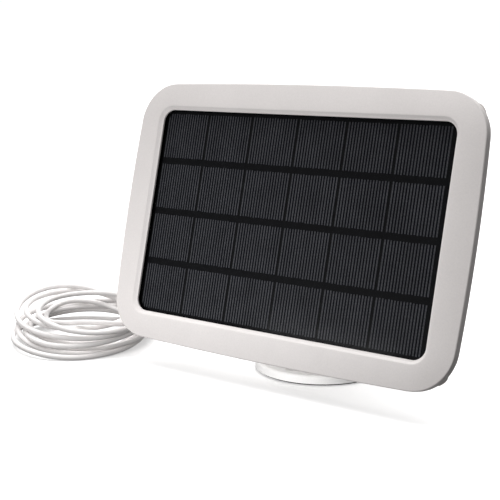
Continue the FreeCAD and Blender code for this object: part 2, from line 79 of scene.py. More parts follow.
# ------------------------------------------------------------------ the lead: one NURBS line through the route's points (mm)
ROUTE_LEAD = [
    (-73.0, -14.293, 74.643), (-83.5, -14.293, 74.643), (-92.5, -12.2, 68.0), (-97.5, -8.5, 55.0), (-98.5, -4.0, 41.0),
    (-97.0, 0.5, 28.5), (-95.8, 5.5, 17.0), (-98.0, 11.0, 7.6), (-105.0, 15.8, 2.2), (-116.0, 19.2, 1.5), (-127.5, 19.4, 1.5),
    (-138.0, 14.6, 1.5), (-145.0, 10.0, 1.5)]
COIL = [
    (-152.2, 3.8, 1.6), (-167.4, -2.6, 1.5), (-177.2, -15.7, 1.9), (-179.7, -33.0, 3.1), (-174.3, -51.1, 4.3), (-162.2, -66.4, 4.6),
    (-145.8, -75.8, 3.9), (-128.2, -77.5, 2.6), (-113.1, -71.2, 1.5), (-103.3, -57.6, 1.5), (-100.8, -39.2, 1.7), (-105.7, -20.0, 3.0),
    (-117.1, -4.1, 4.1), (-132.8, 5.4, 5.3), (-149.9, 7.2, 6.5), (-165.3, 1.5, 7.1), (-175.7, -10.5, 6.6), (-179.1, -26.1, 5.8),
    (-174.8, -42.3, 4.9), (-163.5, -55.9, 4.1), (-147.5, -64.2, 3.8), (-129.9, -65.6, 3.8), (-114.2, -59.9, 4.2), (-103.5, -48.0, 4.6),
    (-100.4, -32.4, 4.8), (-106.2, -15.0, 5.2), (-119.9, 1.1, 6.7), (-138.6, 12.8, 7.7), (-158.5, 17.1, 8.0), (-175.2, 12.3, 7.9),
    (-185.5, -0.8, 8.1), (-188.0, -19.2, 8.5), (-182.4, -38.8, 8.5), (-169.8, -56.1, 7.5), (-152.6, -67.5, 5.2), (-134.1, -70.8, 2.9),
    (-118.1, -65.5, 1.5), (-107.4, -52.5, 1.8), (-103.8, -34.2, 4.3), (-107.7, -14.0, 7.8), (-118.1, 4.4, 10.1), (-133.2, 16.8, 11.6),
    (-149.6, 20.5, 11.3), (-164.4, 14.6, 10.4), (-174.5, 0.4, 9.5), (-177.7, -19.0, 9.0), (-173.0, -39.6, 8.4), (-161.4, -57.5, 7.8),
    (-145.1, -69.0, 7.2), (-127.5, -72.0, 6.5), (-112.0, -65.9, 6.8), (-101.9, -51.7, 8.1), (-99.6, -32.7, 10.1), (-105.1, -13.6, 11.4),
    (-116.9, 1.1, 11.8), (-131.7, 8.9, 10.7), (-147.0, 9.2, 9.9), (-160.4, 2.9, 9.5), (-169.8, -8.7, 9.6), (-173.4, -24.0, 9.6),
    (-170.0, -40.4, 10.2), (-160.7, -54.6, 9.9), (-147.2, -63.7, 8.7), (-132.1, -66.1, 7.4), (-118.4, -61.1, 6.4), (-108.8, -49.6, 6.2),
    (-105.5, -34.3, 7.3), (-109.4, -19.3, 8.3), (-119.8, -7.8, 8.5), (-134.5, -1.4, 8.9), (-150.1, 0.1, 11.1), (-163.3, -2.8, 13.1),
    (-171.6, -9.8, 13.6), (-173.7, -20.2, 12.7), (-169.4, -32.2, 11.2), (-159.6, -43.2, 10.6), (-146.0, -51.3, 12.2), (-131.5, -54.7, 14.8),
    (-118.9, -52.7, 16.8), (-110.8, -46.0, 16.3), (-109.3, -35.4, 13.5), (-114.7, -22.0, 10.5), (-126.1, -7.8, 10.7), (-141.1, 3.9, 12.5),
    (-157.0, 9.7, 14.4), (-170.7, 7.3, 16.1), (-179.8, -2.7, 17.3), (-182.7, -17.5, 18.0), (-179.1, -34.0, 18.0), (-169.6, -49.0, 17.4),
    (-156.2, -59.6, 16.1), (-141.5, -63.6, 14.3), (-128.3, -60.2, 13.2), (-119.0, -50.3, 12.5), (-114.6, -36.2, 12.3), (-116.1, -21.1, 13.0),
    (-124.3, -8.1, 13.7), (-138.9, 0.4, 15.4), (-157.5, 3.1, 18.3), (-175.3, -0.3, 20.4), (-187.7, -9.4, 20.3), (-191.8, -22.8, 18.2),
    (-186.9, -38.2, 15.0), (-174.1, -52.6, 12.2), (-155.7, -63.2, 10.7), (-135.3, -68.0, 10.4), (-116.9, -65.9, 10.6), (-103.9, -57.6, 11.1),
    (-98.7, -44.3, 11.9), (-101.8, -28.7, 13.3), (-111.9, -13.9, 15.5), (-125.9, -3.0, 17.6), (-140.8, 1.7, 19.0), (-154.3, -0.7, 19.1),
    (-164.4, -9.7, 19.1), (-168.6, -23.3, 19.0), (-165.3, -38.6, 18.6), (-155.5, -52.7, 17.9), (-140.9, -62.8, 17.0), (-124.6, -66.9, 15.7),
    (-109.8, -64.2, 14.7), (-99.4, -55.0, 14.3), (-95.5, -41.4, 14.5), (-98.9, -25.9, 15.2), (-109.0, -11.5, 16.2), (-123.7, -1.1, 17.1)]
ROUTE_TAIL = [
    (-128.6, 10.0, 16.4), (-131.5, 19.5, 14.2), (-130.2, 29.5, 8.4), (-124.5, 38.5, 3.2), (-114.5, 45.0, 1.5), (-102.0, 48.0, 1.55),
    (-89.5, 48.4, 2.0), (-77.5, 46.7, 3.3), (-66.0, 44.0, 4.0)]


def nurbs_line(name, points, resolution):
    """Points read from the NURBS curve with these control points, in metres."""
    cu = bpy.data.curves.new(name, "CURVE")
    cu.dimensions = "3D"
    cu.resolution_u = resolution
    sp = cu.splines.new("NURBS")
    sp.points.add(len(points) - 1)
    for p, q in zip(sp.points, points):
        p.co = (q[0] * MM, q[1] * MM, q[2] * MM, 1.0)
    sp.order_u = 3
    sp.use_endpoint_u = True
    ob = bpy.data.objects.new(name, cu)
    scene.collection.objects.link(ob)
    bpy.context.view_layer.update()
    me = bpy.data.meshes.new_from_object(ob.evaluated_get(bpy.context.evaluated_depsgraph_get()))
    line = [v.co.copy() for v in me.vertices]
    bpy.data.objects.remove(ob)
    bpy.data.meshes.remove(me)
    bpy.data.curves.remove(cu)
    return line


def new_piece(name, verts, faces, smooth=True):
    me = bpy.data.meshes.new(name)
    me.from_pydata([tuple(v) for v in verts], [], faces)
    me.validate()
    me.update()
    ob = bpy.data.objects.new(name, me)
    scene.collection.objects.link(ob)
    if smooth:
        for p in me.polygons:
            p.use_smooth = True
    return ob


def tube_mesh(name, line, radius, sides=14):
    """A tube along a line, with a frame carried along it and flat caps at the ends."""
    n = len(line)
    tang = []
    for i in range(n):
        a, b = line[max(i - 1, 0)], line[min(i + 1, n - 1)]
        tang.append((b - a).normalized())
    u = tang[0].orthogonal().normalized()
    verts, faces = [], []
    for i in range(n):
        t = tang[i]
        u = (u - t * u.dot(t)).normalized()
        w = t.cross(u)
        for k in range(sides):
            a = 2 * math.pi * k / sides
            verts.append(line[i] + (u * math.cos(a) + w * math.sin(a)) * radius)
    for i in range(n - 1):
        for k in range(sides):
            k2 = (k + 1) % sides
            faces.append((i * sides + k, i * sides + k2, (i + 1) * sides + k2, (i + 1) * sides + k))
    faces.append(tuple(range(sides - 1, -1, -1)))
    faces.append(tuple((n - 1) * sides + k for k in range(sides)))
    return new_piece(name, verts, faces)


CORD_LINE = nurbs_line("lead_line", ROUTE_LEAD + COIL + ROUTE_TAIL, 6)
cord = tube_mesh("lead_cable", CORD_LINE, CORD_D / 2 * MM, 16)

# ------------------------------------------------------------------ outlines in the panel frame (mm)
N_LONG, N_SHORT, N_CORNER = 46, 30, 16


def _side(i):
    return N_SHORT if i % 2 == 0 else N_LONG


def bowed(inset, z, r=None):
    """The bowed outline, right side first, anticlockwise."""
    r = R_CORNER - inset if r is None else r
    A, B = PAN_W / 2 - inset, PAN_H / 2 - inset
    R1, R2 = R_SIDE - inset, R_TOP - inset
    c1, c2 = A - R1, B - R2
    x, y = A - r, B - r
    for _ in range(40):
        f1 = math.hypot(x - c1, y) - (R1 - r)
        f2 = math.hypot(x, y - c2) - (R2 - r)
        x -= f1
        y -= f2
    a1 = math.atan2(y, x - c1)            # half angle of a short side
    a2 = math.atan2(x, y - c2)            # half angle of a long side
    out = []
    for i in range(4):
        n = _side(i)
        for k in range(n):
            t = -1 + 2 * k / n
            if i == 0:
                p = (c1 + R1 * math.cos(a1 * t), R1 * math.sin(a1 * t))
            elif i == 1:
                p = (-R2 * math.sin(a2 * t), c2 + R2 * math.cos(a2 * t))
            elif i == 2:
                p = (-c1 - R1 * math.cos(a1 * t), -R1 * math.sin(a1 * t))
            else:
                p = (R2 * math.sin(a2 * t), -c2 - R2 * math.cos(a2 * t))
            out.append((p[0], p[1], z))
        sx, sy = ((1, 1), (-1, 1), (-1, -1), (1, -1))[i]
        start = (a1, math.pi / 2 + a2, math.pi + a1, 1.5 * math.pi + a2)[i]
        span = math.pi / 2 - a1 - a2
        for k in range(N_CORNER):
            a = start + span * k / N_CORNER
            out.append((sx * x + r * math.cos(a), sy * y + r * math.sin(a), z))
    return out


def rrect(hw, hh, r, z):
    """A rounded rectangle with the same count and order of points."""
    out = []
    for i in range(4):
        n = _side(i)
        for k in range(n):
            t = -1 + 2 * k / n
            if i == 0:
                p = (hw, (hh - r) * t)
            elif i == 1:
                p = (-(hw - r) * t, hh)
            elif i == 2:
                p = (-hw, -(hh - r) * t)
            else:
                p = ((hw - r) * t, -hh)
            out.append((p[0], p[1], z))
        sx, sy = ((1, 1), (-1, 1), (-1, -1), (1, -1))[i]
        for k in range(N_CORNER):
            a = math.pi / 2 * (i + k / N_CORNER)
            out.append((sx * (hw - r) + r * math.cos(a), sy * (hh - r) + r * math.sin(a), z))
    return out


def window(offset, z):
    return rrect(WIN_W / 2 + offset, WIN_H / 2 + offset, WIN_R + offset, z)


def opening(offset, z, dx=0.75):
    """The window's edge, which sits a little to the right in the bezel."""
    return [(x + dx, y, zz) for x, y, zz in window(offset, z)]


def mix(a, b, t, z=None):
    return [tuple(p[k] * (1 - t) + q[k] * t for k in range(3)) if z is None else
            (p[0] * (1 - t) + q[0] * t, p[1] * (1 - t) + q[1] * t, z) for p, q in zip(a, b)]


def swept(name, loops, closed=True, caps=False, place=on_panel, flip=False):
    n = len(loops[0])
    verts = [place(*p) for lp in loops for p in lp]
    faces = []
    m = len(loops)
    for i in range(m if closed else m - 1):
        j = (i + 1) % m
        for k in range(n):
            k2 = (k + 1) % n
            faces.append((i * n + k, i * n + k2, j * n + k2, j * n + k))
    if caps:
        faces.append(tuple(range(n - 1, -1, -1)))
        faces.append(tuple((m - 1) * n + k for k in range(n)))
    return new_piece(name, verts, faces)


def tidy(ob, angle=38.0, weighted=True):
    """Outward faces, smooth shading with true creases."""
    bm = bmesh.new()
    bm.from_mesh(ob.data)
    bmesh.ops.recalc_face_normals(bm, faces=bm.faces)
    bm.to_mesh(ob.data)
    bm.free()
    for p in ob.data.polygons:
        p.use_smooth = True
    ob.data.set_sharp_from_angle(angle=math.radians(angle))
    if weighted:
        md = ob.modifiers.new("normals", "WEIGHTED_NORMAL")
        md.keep_sharp = True
        md.weight = 60
    return ob


def join(name, parts):
    """One mesh from several."""
    bm = bmesh.new()
    for p in parts:
        bm.from_mesh(p.data)
    me = bpy.data.meshes.new(name)
    bm.to_mesh(me)
    bm.free()
    for p in parts:
        d = p.data
        bpy.data.objects.remove(p)
        bpy.data.meshes.remove(d)
    ob = bpy.data.objects.new(name, me)
    scene.collection.objects.link(ob)
    return ob


# ------------------------------------------------------------------ bezel
F_R, CROWN = 0.7, 1.25             # outer edge radius; the face falls this much from the window to the edge
FACE_OUT = FACE_Z - CROWN
loops = [bowed(2.2, PART_Z), bowed(0.35, PART_Z), bowed(0.1, PART_Z + 0.1), bowed(0.0, PART_Z + 0.35), bowed(0.0, -0.6)]
for k in range(11):
    a = math.pi / 2 * k / 10
    loops.append(bowed(F_R - F_R * math.cos(a), FACE_OUT - F_R + F_R * math.sin(a)))
face_out = bowed(F_R, FACE_OUT)
face_in = opening(2.15, FACE_Z, 0.0)
for t in (0.03, 0.1, 0.2, 0.32, 0.45, 0.6, 0.75, 0.88, 0.97):
    loops.append(mix(face_out, face_in, t, FACE_Z - CROWN * (1 - t) ** 1.6))
# a sloping strip round the window, rounded at the top and ending in a narrow flat rim at the glass
for off, z, dx in ((2.0, 2.385, 0.05), (1.86, 2.33, 0.08), (1.72, 2.24, 0.12), (1.58, 2.12, 0.17), (1.25, 1.87, 0.30), (0.9, 1.62, 0.45),
                   (0.66, 1.46, 0.56), (0.54, 1.41, 0.61), (0.42, 1.39, 0.67), (0.24, 1.38, 0.72), (0.13, 1.36, 0.75), (0.05, 1.29, 0.75), (0.0, 1.18, 0.75)):
    loops.append(opening(off, z, dx))
loops += [opening(0.0, 0.8), opening(0.0, BACK_OF_FACE + 0.08), opening(0.06, BACK_OF_FACE), opening(0.3, BACK_OF_FACE)]
back_in, back_out = opening(0.3, BACK_OF_FACE), bowed(WALL + 0.4, BACK_OF_FACE)
for t in (0.35, 0.7):
    loops.append(mix(back_in, back_out, t))
loops += [back_out, bowed(WALL, BACK_OF_FACE - 0.4)]
frame_body = swept("bezel_body", loops)
bits = [frame_body]
hw, hh = GLASS_W / 2, GLASS_H / 2
bits.append(swept("bezel_rib", [rrect(hw + 1.5, hh + 1.5, 6.2, BACK_OF_FACE), rrect(hw + 1.5, hh + 1.5, 6.2, -3.0), rrect(hw + 1.3, hh + 1.3, 6.0, -3.2),
                                rrect(hw + 0.4, hh + 0.4, 5.3, -3.2), rrect(hw + 0.25, hh + 0.25, 5.2, -3.0), rrect(hw + 0.25, hh + 0.25, 5.2, BACK_OF_FACE)]))
bezel = tidy(join("bezel_frame", bits), 40)

# ------------------------------------------------------------------ glass, a black ring (printed edge plus painted shade under the bezel lip), cells and finger lines
glass = tidy(swept("glass_pane", [rrect(hw - 0.25, hh - 0.25, 4.8, -1.95), rrect(hw, hh, 5.0, -1.75), rrect(hw, hh, 5.0, -0.25), rrect(hw - 0.25, hh - 0.25, 4.8, 0.0)],
                   closed=False, caps=True), 30, False)
# pure black ring on the glass back, reaching 0.45 mm into the window: partly the laminate's black printed edge, partly
# painted shadow of the bezel lip
border_and_painted_shade = tidy(swept("glass_border_and_painted_shade", [rrect(hw - 0.5, hh - 0.5, 4.6, -1.97), opening(-0.45, -1.97), opening(-0.45, -1.955), rrect(hw - 0.5, hh - 0.5, 4.6, -1.955)]), 30, False)


def bar(x0, x1, y0, y1, z0, z1, verts, faces):
    b = len(verts)
    for z in (z0, z1):
        for x, y in ((x0, y0), (x1, y0), (x1, y1), (x0, y1)):
            verts.append(on_panel(x, y, z))
    faces += [(b, b + 3, b + 2, b + 1), (b + 4, b + 5, b + 6, b + 7), (b, b + 1, b + 5, b + 4), (b + 1, b + 2, b + 6, b + 5),
              (b + 2, b + 3, b + 7, b + 6), (b + 3, b, b + 4, b + 7)]


FINGERS, FINGER_W = 17, 0.80
CELL_SHIFT = -0.8                  # the cells are laid a little to the left in the window
rng = random.Random(7)
verts, faces, cell_verts, cell_faces = [], [], [], []
for i in range(COLS):
    for j in range(ROWS):
        cx = (i - (COLS - 1) / 2) * COL_PITCH + CELL_SHIFT
        cy = (j - (ROWS - 1) / 2) * ROW_PITCH
        bar(cx - CELL_W / 2, cx + CELL_W / 2, cy - CELL_H / 2, cy + CELL_H / 2, -2.2, -2.0, cell_verts, cell_faces)
        pitch = (CELL_W - FINGER_W) / (FINGERS - 1)
        for k in range(FINGERS):
            x = cx - CELL_W / 2 + FINGER_W / 2 + pitch * k
            w = FINGER_W / 2 * (1 + rng.uniform(-0.05, 0.05))
            bar(x - w, x + w, cy - CELL_H / 2 + rng.uniform(0.0, 0.25), cy + CELL_H / 2 - rng.uniform(0.0, 0.25), -2.0, -1.975, verts, faces)
fingers = new_piece("cell_fingers", verts, faces, smooth=False)
cells = new_piece("cell_wafers", cell_verts, cell_faces, smooth=False)

# ------------------------------------------------------------------ helpers for the moulded pieces


def in_row(x, y, z):
    return Vector((x * MM, y * MM, z * MM))


def circle(r, z, x=0.0, y=0.0, n=48):
    return [(x + r * math.cos(2 * math.pi * k / n), y + r * math.sin(2 * math.pi * k / n), z) for k in range(n)]


def squircle(a, b, power, z, x=0.0, y=0.0, n=72):
    """A closed outline between an ellipse (power 2) and a rounded rectangle."""
    out = []
    for k in range(n):
        t = 2 * math.pi * (k + 0.5) / n
        c, s = math.cos(t), math.sin(t)
        g = (abs(c) ** power + abs(s) ** power) ** (-1.0 / power)
        out.append((x + a * c * g, y + b * s * g, z))
    return out


def through(points, steps):
    """Smooth samples through a list of tuples."""
    out = []
    n = len(points)
    for i in range(n - 1):
        p0, p1, p2, p3 = points[max(i - 1, 0)], points[i], points[i + 1], points[min(i + 2, n - 1)]
        for k in range(steps):
            t = k / steps
            out.append(tuple(0.5 * (2 * b + (c - a) * t + (2 * a - 5 * b + 4 * c - d) * t * t + (3 * b - a - 3 * c + d) * t ** 3)
                             for a, b, c, d in zip(p0, p1, p2, p3)))
    out.append(tuple(points[-1]))
    return out


def outward(ob):
    bm = bmesh.new()
    bm.from_mesh(ob.data)
    bmesh.ops.recalc_face_normals(bm, faces=bm.faces)
    bm.to_mesh(ob.data)
    bm.free()
    return ob


def baked(ob):
    """The object's mesh with its modifiers applied."""
    bpy.context.view_layer.update()
    me = bpy.data.meshes.new_from_object(ob.evaluated_get(bpy.context.evaluated_depsgraph_get()))
    ob.modifiers.clear()
    old, name = ob.data, ob.data.name
    ob.data = me
    bpy.data.meshes.remove(old)
    me.name = name
    return ob


def carve(ob, tool, op="DIFFERENCE"):
    md = ob.modifiers.new("carve", "BOOLEAN")
    md.operation = op
    md.solver = "EXACT"
    md.object = tool
    baked(ob)
    d = tool.data
    bpy.data.objects.remove(tool)
    bpy.data.meshes.remove(d)
    return ob


def softened(ob, width, angle=42.0, segments=2):
    """Small moulded radii on the true edges."""
    bm = bmesh.new()
    bm.from_mesh(ob.data)
    bmesh.ops.remove_doubles(bm, verts=bm.verts, dist=2e-6)
    bmesh.ops.dissolve_limit(bm, angle_limit=math.radians(1.0), verts=bm.verts, edges=bm.edges)
    bm.to_mesh(ob.data)
    bm.free()
    md = ob.modifiers.new("edge", "BEVEL")
    md.width = width * MM
    md.segments = segments
    md.limit_method = "ANGLE"
    md.angle_limit = math.radians(angle)
    md.use_clamp_overlap = True
    return baked(ob)


# ------------------------------------------------------------------ rear cover: a dished shell with screw turrets and the lead's outlet
SCREWS = [(89.8, 57.8), (-89.8, 57.8), (89.8, -57.8), (-89.8, -57.8), (38, 61.6), (-38, 61.6), (38, -61.6), (-38, -61.6)]
REAR_Z = -16.5
profile = through([(0.0, -3.15, 21.0), (0.9, -4.1, 20.3), (2.5, -5.6, 19.4), (5.8, -8.85, 18.6), (10.4, -11.7, 18.0), (15.2, -14.1, 17.2),
                   (19.2, -15.6, 16.2), (22.8, -16.33, 15.0), (26.5, -16.5, 13.0)], 3)
inner = [(26.0, -14.3, 13.2), (20.0, -13.4, 15.8), (16.3, -12.2, 16.5), (8.0, -7.6, 17.2), (4.6, -4.6, 17.8), (2.4, -2.8, 18.8)]
shell = swept("rear_shell", [bowed(i, z, r) for i, z, r in inner] + [bowed(0.35, -2.8, 20.65), bowed(0.1, -2.9, 20.9)]
              + [bowed(i, z, r) for i, z, r in profile], closed=False, caps=True)
outward(shell)
turrets = [outward(swept("turret", [circle(4.8, -3.3, x, y), circle(4.4, -5.2, x, y), circle(4.0, -6.5, x, y), circle(3.85, -6.95, x, y),
                                    circle(3.7, -7.17, x, y), circle(3.45, -7.25, x, y)],
                         closed=False, caps=True)) for x, y in SCREWS]
outlet = []
for g, z in ((1.1, -16.0), (0.55, -16.75), (0.2, -17.2), (0.0, -17.8), (0.0, -22.6), (-0.35, -23.9), (-1.0, -24.8), (-1.9, -25.35), (-3.0, -25.5)):
    outlet.append(squircle(7.5 + g, 7.5 + g, 7.0 if g > -1.5 else 5.0, z, -49.5, 0.0))
turrets.append(outward(swept("outlet", outlet, closed=False, caps=True)))
carve(shell, join("turrets", turrets), "UNION")
pockets = [outward(swept("pocket", [circle(3.1, -40.0, x, y), circle(3.1, -7.3, x, y)], closed=False, caps=True)) for x, y in SCREWS]
carve(shell, join("pockets", pockets))
rear = tidy(shell, 34)
rear.name = "rear_shell"

# ------------------------------------------------------------------ swivel post: a turned foot that flows into the fork
sections = [(9.08, 17.2, 17.2, 2.0), (9.3, 17.45, 17.45, 2.0), (11.9, 17.5, 17.5, 2.0), (12.3, 17.35, 17.35, 2.0), (12.5, 16.95, 16.95, 2.0), (12.55, 14.6, 14.6, 2.0)]
sections += through([(12.75, 13.5, 13.5, 2.0), (13.6, 12.55, 12.55, 2.0), (16.5, 11.15, 11.15, 2.0), (21.0, 9.85, 9.85, 2.0), (27.0, 8.95, 8.95, 2.0), (33.5, 8.62, 8.62, 2.02),
                     (39.0, 8.95, 8.4, 2.25), (44.0, 9.9, 8.1, 3.0), (48.5, 10.7, 7.95, 4.2), (53.0, 10.98, 7.95, 6.0), (58.0, 11.0, 8.0, 8.0), (62.5, 11.0, 8.15, 9.0), (67.5, 11.0, 8.9, 9.0)], 4)
post = outward(swept("swivel_fork", [squircle(a, b, p, z) for z, a, b, p in sections], closed=False, caps=True, place=in_row))


def along_x(a, b, x):
    return Vector((x * MM, a * MM, (PIVOT_Z + b) * MM))


ears = outward(swept("ears", [circle(9.3, -11.0, n=96), circle(9.75, -10.82, n=96), circle(10.0, -10.3, n=96), circle(10.0, 10.3, n=96), circle(9.75, 10.82, n=96), circle(9.3, 11.0, n=96)],
                     closed=False, caps=True, place=along_x))
carve(post, ears, "UNION")
slot_box = outward(swept("slot", [squircle(6.0, 30.0, 40.0, 58.0), squircle(6.0, 30.0, 40.0, 90.0)], closed=False, caps=True, place=in_row))
carve(post, slot_box)
post = tidy(post, 36)
post.name = "swivel_fork"

# ------------------------------------------------------------------ tilt knob: eight soft scallops, a dished face
K0 = 12.05
LOBES = [(K0, 6.7, 0.0), (K0 + 0.12, 7.0, 0.0), (K0 + 0.4, 7.2, 0.0), (K0 + 2.2, 7.2, 0.0), (K0 + 2.45, 7.5, 0.0), (K0 + 2.5, 10.4, 0.4), (K0 + 2.55, 11.9, 0.9),
         (K0 + 2.75, 12.5, 1.0), (K0 + 3.2, 12.88, 1.0), (K0 + 3.9, 13.0, 1.0), (K0 + 11.2, 13.0, 1.0), (K0 + 12.1, 12.82, 1.0), (K0 + 12.7, 12.3, 1.0), (K0 + 12.96, 11.6, 0.95),
         (K0 + 13.0, 10.6, 0.6), (K0 + 12.95, 9.6, 0.2), (K0 + 12.6, 9.2, 0.0), (K0 + 12.0, 8.95, 0.0), (K0 + 11.8, 8.5, 0.0), (K0 + 11.75, 4.0, 0.0)]
N_KNOB = 160
knob_loops = []
for x, r, g in LOBES:
    lp = []
    for k in range(N_KNOB):
        t = 2 * math.pi * k / N_KNOB
        dip = ((1 - math.cos(8 * t)) / 2) ** 1.6
        rr = r - 1.75 * g * dip
        lp.append((rr * math.cos(t), rr * math.sin(t), x))
    knob_loops.append(lp)
knob = tidy(swept("star_knob", knob_loops, closed=False, caps=True, place=along_x), 36)

# ------------------------------------------------------------------ plug grip: a soft rounded block with finger ribs
_pd = math.atan2(44.0 - 46.7, -66.0 + 77.5)


def on_plug(y, z, x):
    """Plug frame in mm (x towards the tip) to the row frame."""
    c, s = math.cos(_pd), math.sin(_pd)
    return Vector(((-66.0 + x * c - y * s) * MM, (44.0 + x * s + y * c) * MM, (4.0 + z) * MM))


grip_rings = [(11.0, 3.2, 2.9), (11.15, 3.9, 3.35), (11.6, 4.6, 3.75), (12.4, 5.15, 3.93), (13.4, 5.45, 3.99), (14.4, 5.6, 4.0)]
for k in range(6):
    x = 15.2 + 1.9 * k
    grip_rings += [(x, 5.6, 4.0), (x + 0.18, 5.36, 3.98), (x + 0.45, 5.18, 3.97), (x + 0.75, 5.18, 3.97), (x + 1.02, 5.36, 3.98), (x + 1.2, 5.6, 4.0)]
grip_rings += [(28.0, 5.6, 4.0), (30.0, 5.55, 3.97), (30.7, 5.35, 3.85), (31.0, 5.05, 3.6)]
grip = tidy(swept("plug_grip_body", [squircle(w, h, 5.0, x, n=80) for x, w, h in grip_rings], closed=False, caps=True, place=on_plug), 50)

# ------------------------------------------------------------------ the tilt bracket and the foot with small moulded radii


def eased(node, name, width):
    me = nodes[node].data.copy()
    me.name = name
    me.materials.clear()
    ob = bpy.data.objects.new(name, me)
    scene.collection.objects.link(ob)
    return tidy(softened(ob, width), 36)


bracket = eased("tilt_bracket", "bracket_body", 0.6)
foot_body = eased("base_plate", "foot_body", 0.4)

# ------------------------------------------------------------------ materials


def lin(*rgb):
    return tuple(((c / 255.0) / 12.92 if c / 255.0 <= 0.04045 else ((c / 255.0 + 0.055) / 1.055) ** 2.4) for c in rgb)


class Mat:
    def __init__(self, name):
        self.m = bpy.data.materials.new(name)
        self.m.use_nodes = True
        self.t = self.m.node_tree
        self.n = self.t.nodes
        self.b = self.n["Principled BSDF"]
        self.co = self.n.new("ShaderNodeTexCoord").outputs["Object"]

    def link(self, a, b):
        self.t.links.new(a, b)

    def scaled(self, sx, sy, sz):
        mp = self.n.new("ShaderNodeMapping")
        mp.inputs["Scale"].default_value = (sx, sy, sz)
        self.link(self.co, mp.inputs["Vector"])
        return mp.outputs["Vector"]

    def noise(self, scale, detail=3.0, rough=0.55, vec=None):
        t = self.n.new("ShaderNodeTexNoise")
        t.inputs["Scale"].default_value = scale
        t.inputs["Detail"].default_value = detail
        t.inputs["Roughness"].default_value = rough
        self.link(vec if vec is not None else self.co, t.inputs["Vector"])
        return t.outputs["Fac"]

    def remap(self, fac, a, b, lo, hi):
        r = self.n.new("ShaderNodeMapRange")
        r.inputs["From Min"].default_value = a
        r.inputs["From Max"].default_value = b
        r.inputs["To Min"].default_value = lo
        r.inputs["To Max"].default_value = hi
        self.link(fac, r.inputs["Value"])
        return r.outputs["Result"]

    def mul(self, a, b):
        r = self.n.new("ShaderNodeMath")
        r.operation = "MULTIPLY"
        for s, v in zip(r.inputs, (a, b)):
            if isinstance(v, (int, float)):
                s.default_value = v
            else:
                self.link(v, s)
        return r.outputs[0]

    def tint(self, colour, gain):
        """colour times a grey value."""
        v = self.n.new("ShaderNodeVectorMath")
        v.operation = "SCALE"
        v.inputs[0].default_value = colour
        self.link(gain, v.inputs["Scale"])
        self.link(v.outputs[0], self.b.inputs["Base Color"])
        return v.outputs[0]

    def bump(self, height, dist, strength=1.0):
        b = self.n.new("ShaderNodeBump")
        b.inputs["Distance"].default_value = dist
        b.inputs["Strength"].default_value = strength
        self.link(height, b.inputs["Height"])
        self.link(b.outputs["Normal"], self.b.inputs["Normal"])


def moulded(name, colour, rough=0.42, fine=1400.0, fine_amt=0.035, broad=45.0, broad_amt=0.025, bump=0.012, spec=0.4, rough_var=0.06):
    """Moulded polymer: a fine spark-eroded grain, faint broad mottling and uneven gloss."""
    m = Mat(name)
    f = m.remap(m.noise(fine, 2.0, 0.6), 0.25, 0.75, 1 - fine_amt, 1 + fine_amt)
    g = m.remap(m.noise(broad, 3.0, 0.5), 0.3, 0.7, 1 - broad_amt, 1 + broad_amt)
    m.tint(colour, m.mul(f, g))
    m.link(m.remap(m.noise(fine * 0.35, 3.0), 0.3, 0.7, rough - rough_var, rough + rough_var), m.b.inputs["Roughness"])
    m.b.inputs["Specular IOR Level"].default_value = spec
    m.bump(m.noise(fine * 1.6, 2.0, 0.7), bump * MM, 0.6)
    return m.m


def metal(name, colour, rough=0.3, stretch=(1, 1, 1), scale=1800.0, bump=0.004):
    m = Mat(name)
    v = m.scaled(*stretch)
    m.tint(colour, m.remap(m.noise(scale, 4.0, 0.6, v), 0.25, 0.75, 0.86, 1.08))
    m.link(m.remap(m.noise(scale * 0.7, 4.0, 0.6, v), 0.3, 0.7, rough - 0.08, rough + 0.12), m.b.inputs["Roughness"])
    m.b.inputs["Metallic"].default_value = 1.0
    m.bump(m.noise(scale, 3.0, 0.6, v), bump * MM, 0.5)
    return m.m


